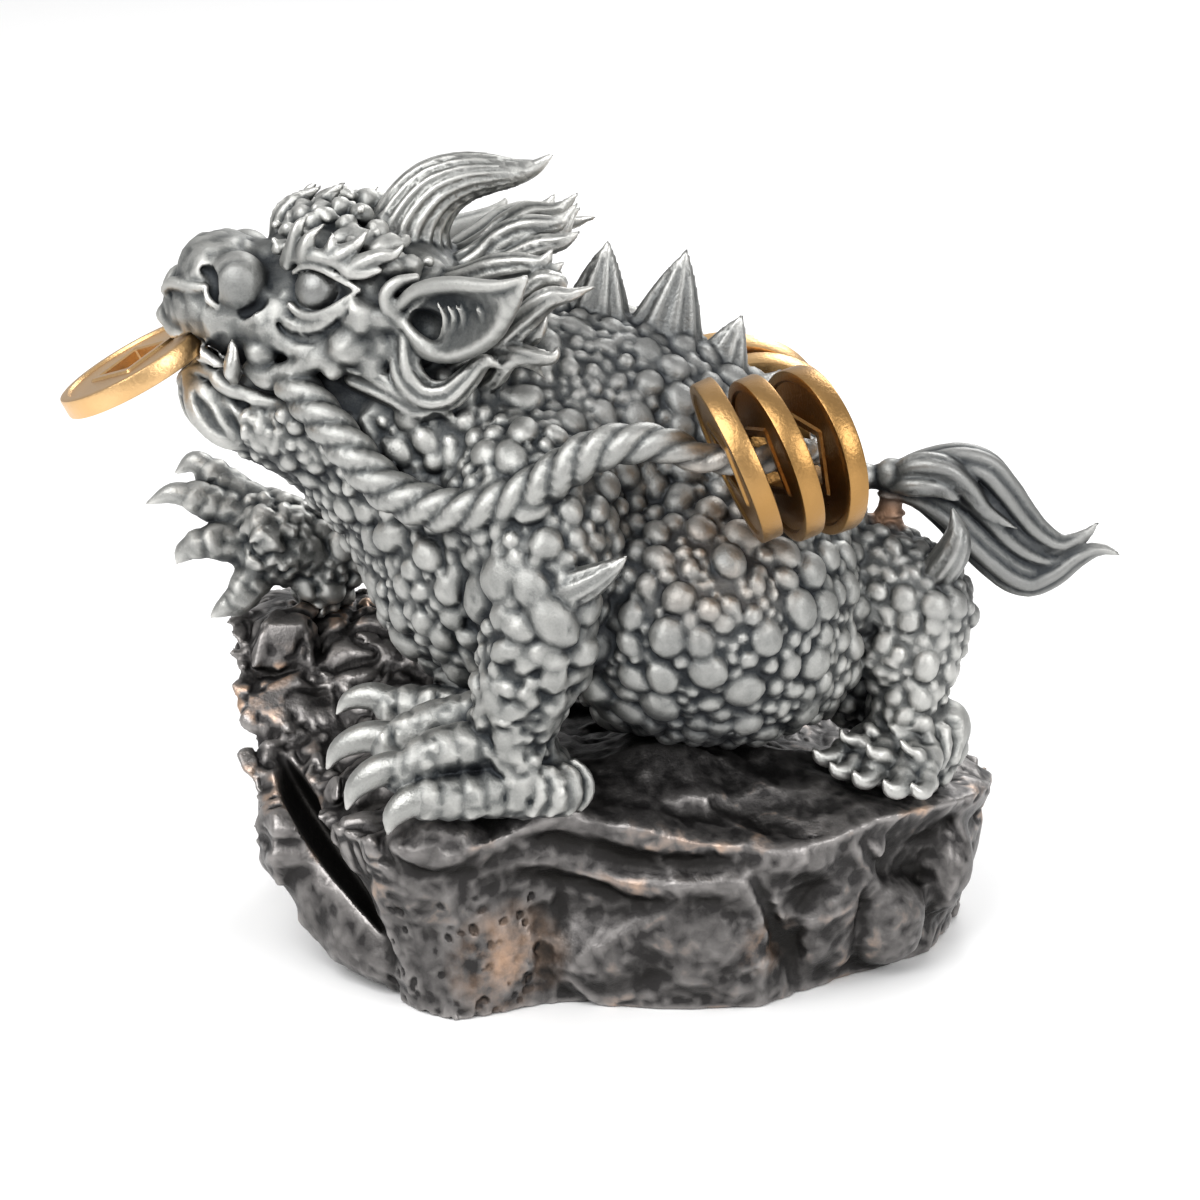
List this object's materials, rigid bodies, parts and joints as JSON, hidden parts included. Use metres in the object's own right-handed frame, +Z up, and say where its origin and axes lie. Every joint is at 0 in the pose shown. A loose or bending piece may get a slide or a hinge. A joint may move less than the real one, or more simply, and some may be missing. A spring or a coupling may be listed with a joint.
{
  "type": "money toad figurine",
  "caption": "Horned three-legged money toad in pewter on a bronze-brown rock, a coin in its mouth and strung coins on its back.",
  "frame": {"origin": "on the flat underside of the rock, under the toad's body", "axes": "+Z up, -X the way the head looks, +X towards the tail, -Y the side of the lowered foreleg"},
  "size_m": [0.1889, 0.1038, 0.1471],
  "materials": {
    "pewter": "antiqued pewter, dark in the recesses and burnished on the high spots",
    "rock": "dark bronze-brown patina with copper rubbed through on the edges",
    "gilt": "satin gilt"
  },
  "bodies": {
    "root": {"toad": "pewter", "base_rock": "rock", "mouth_coin": "gilt", "coin_near_1": "gilt", "coin_near_2": "gilt", "coin_near_3": "gilt", "coin_far_1": "gilt", "coin_far_2": "gilt", "coin_far_3": "gilt"}
  },
  "joints": []
}
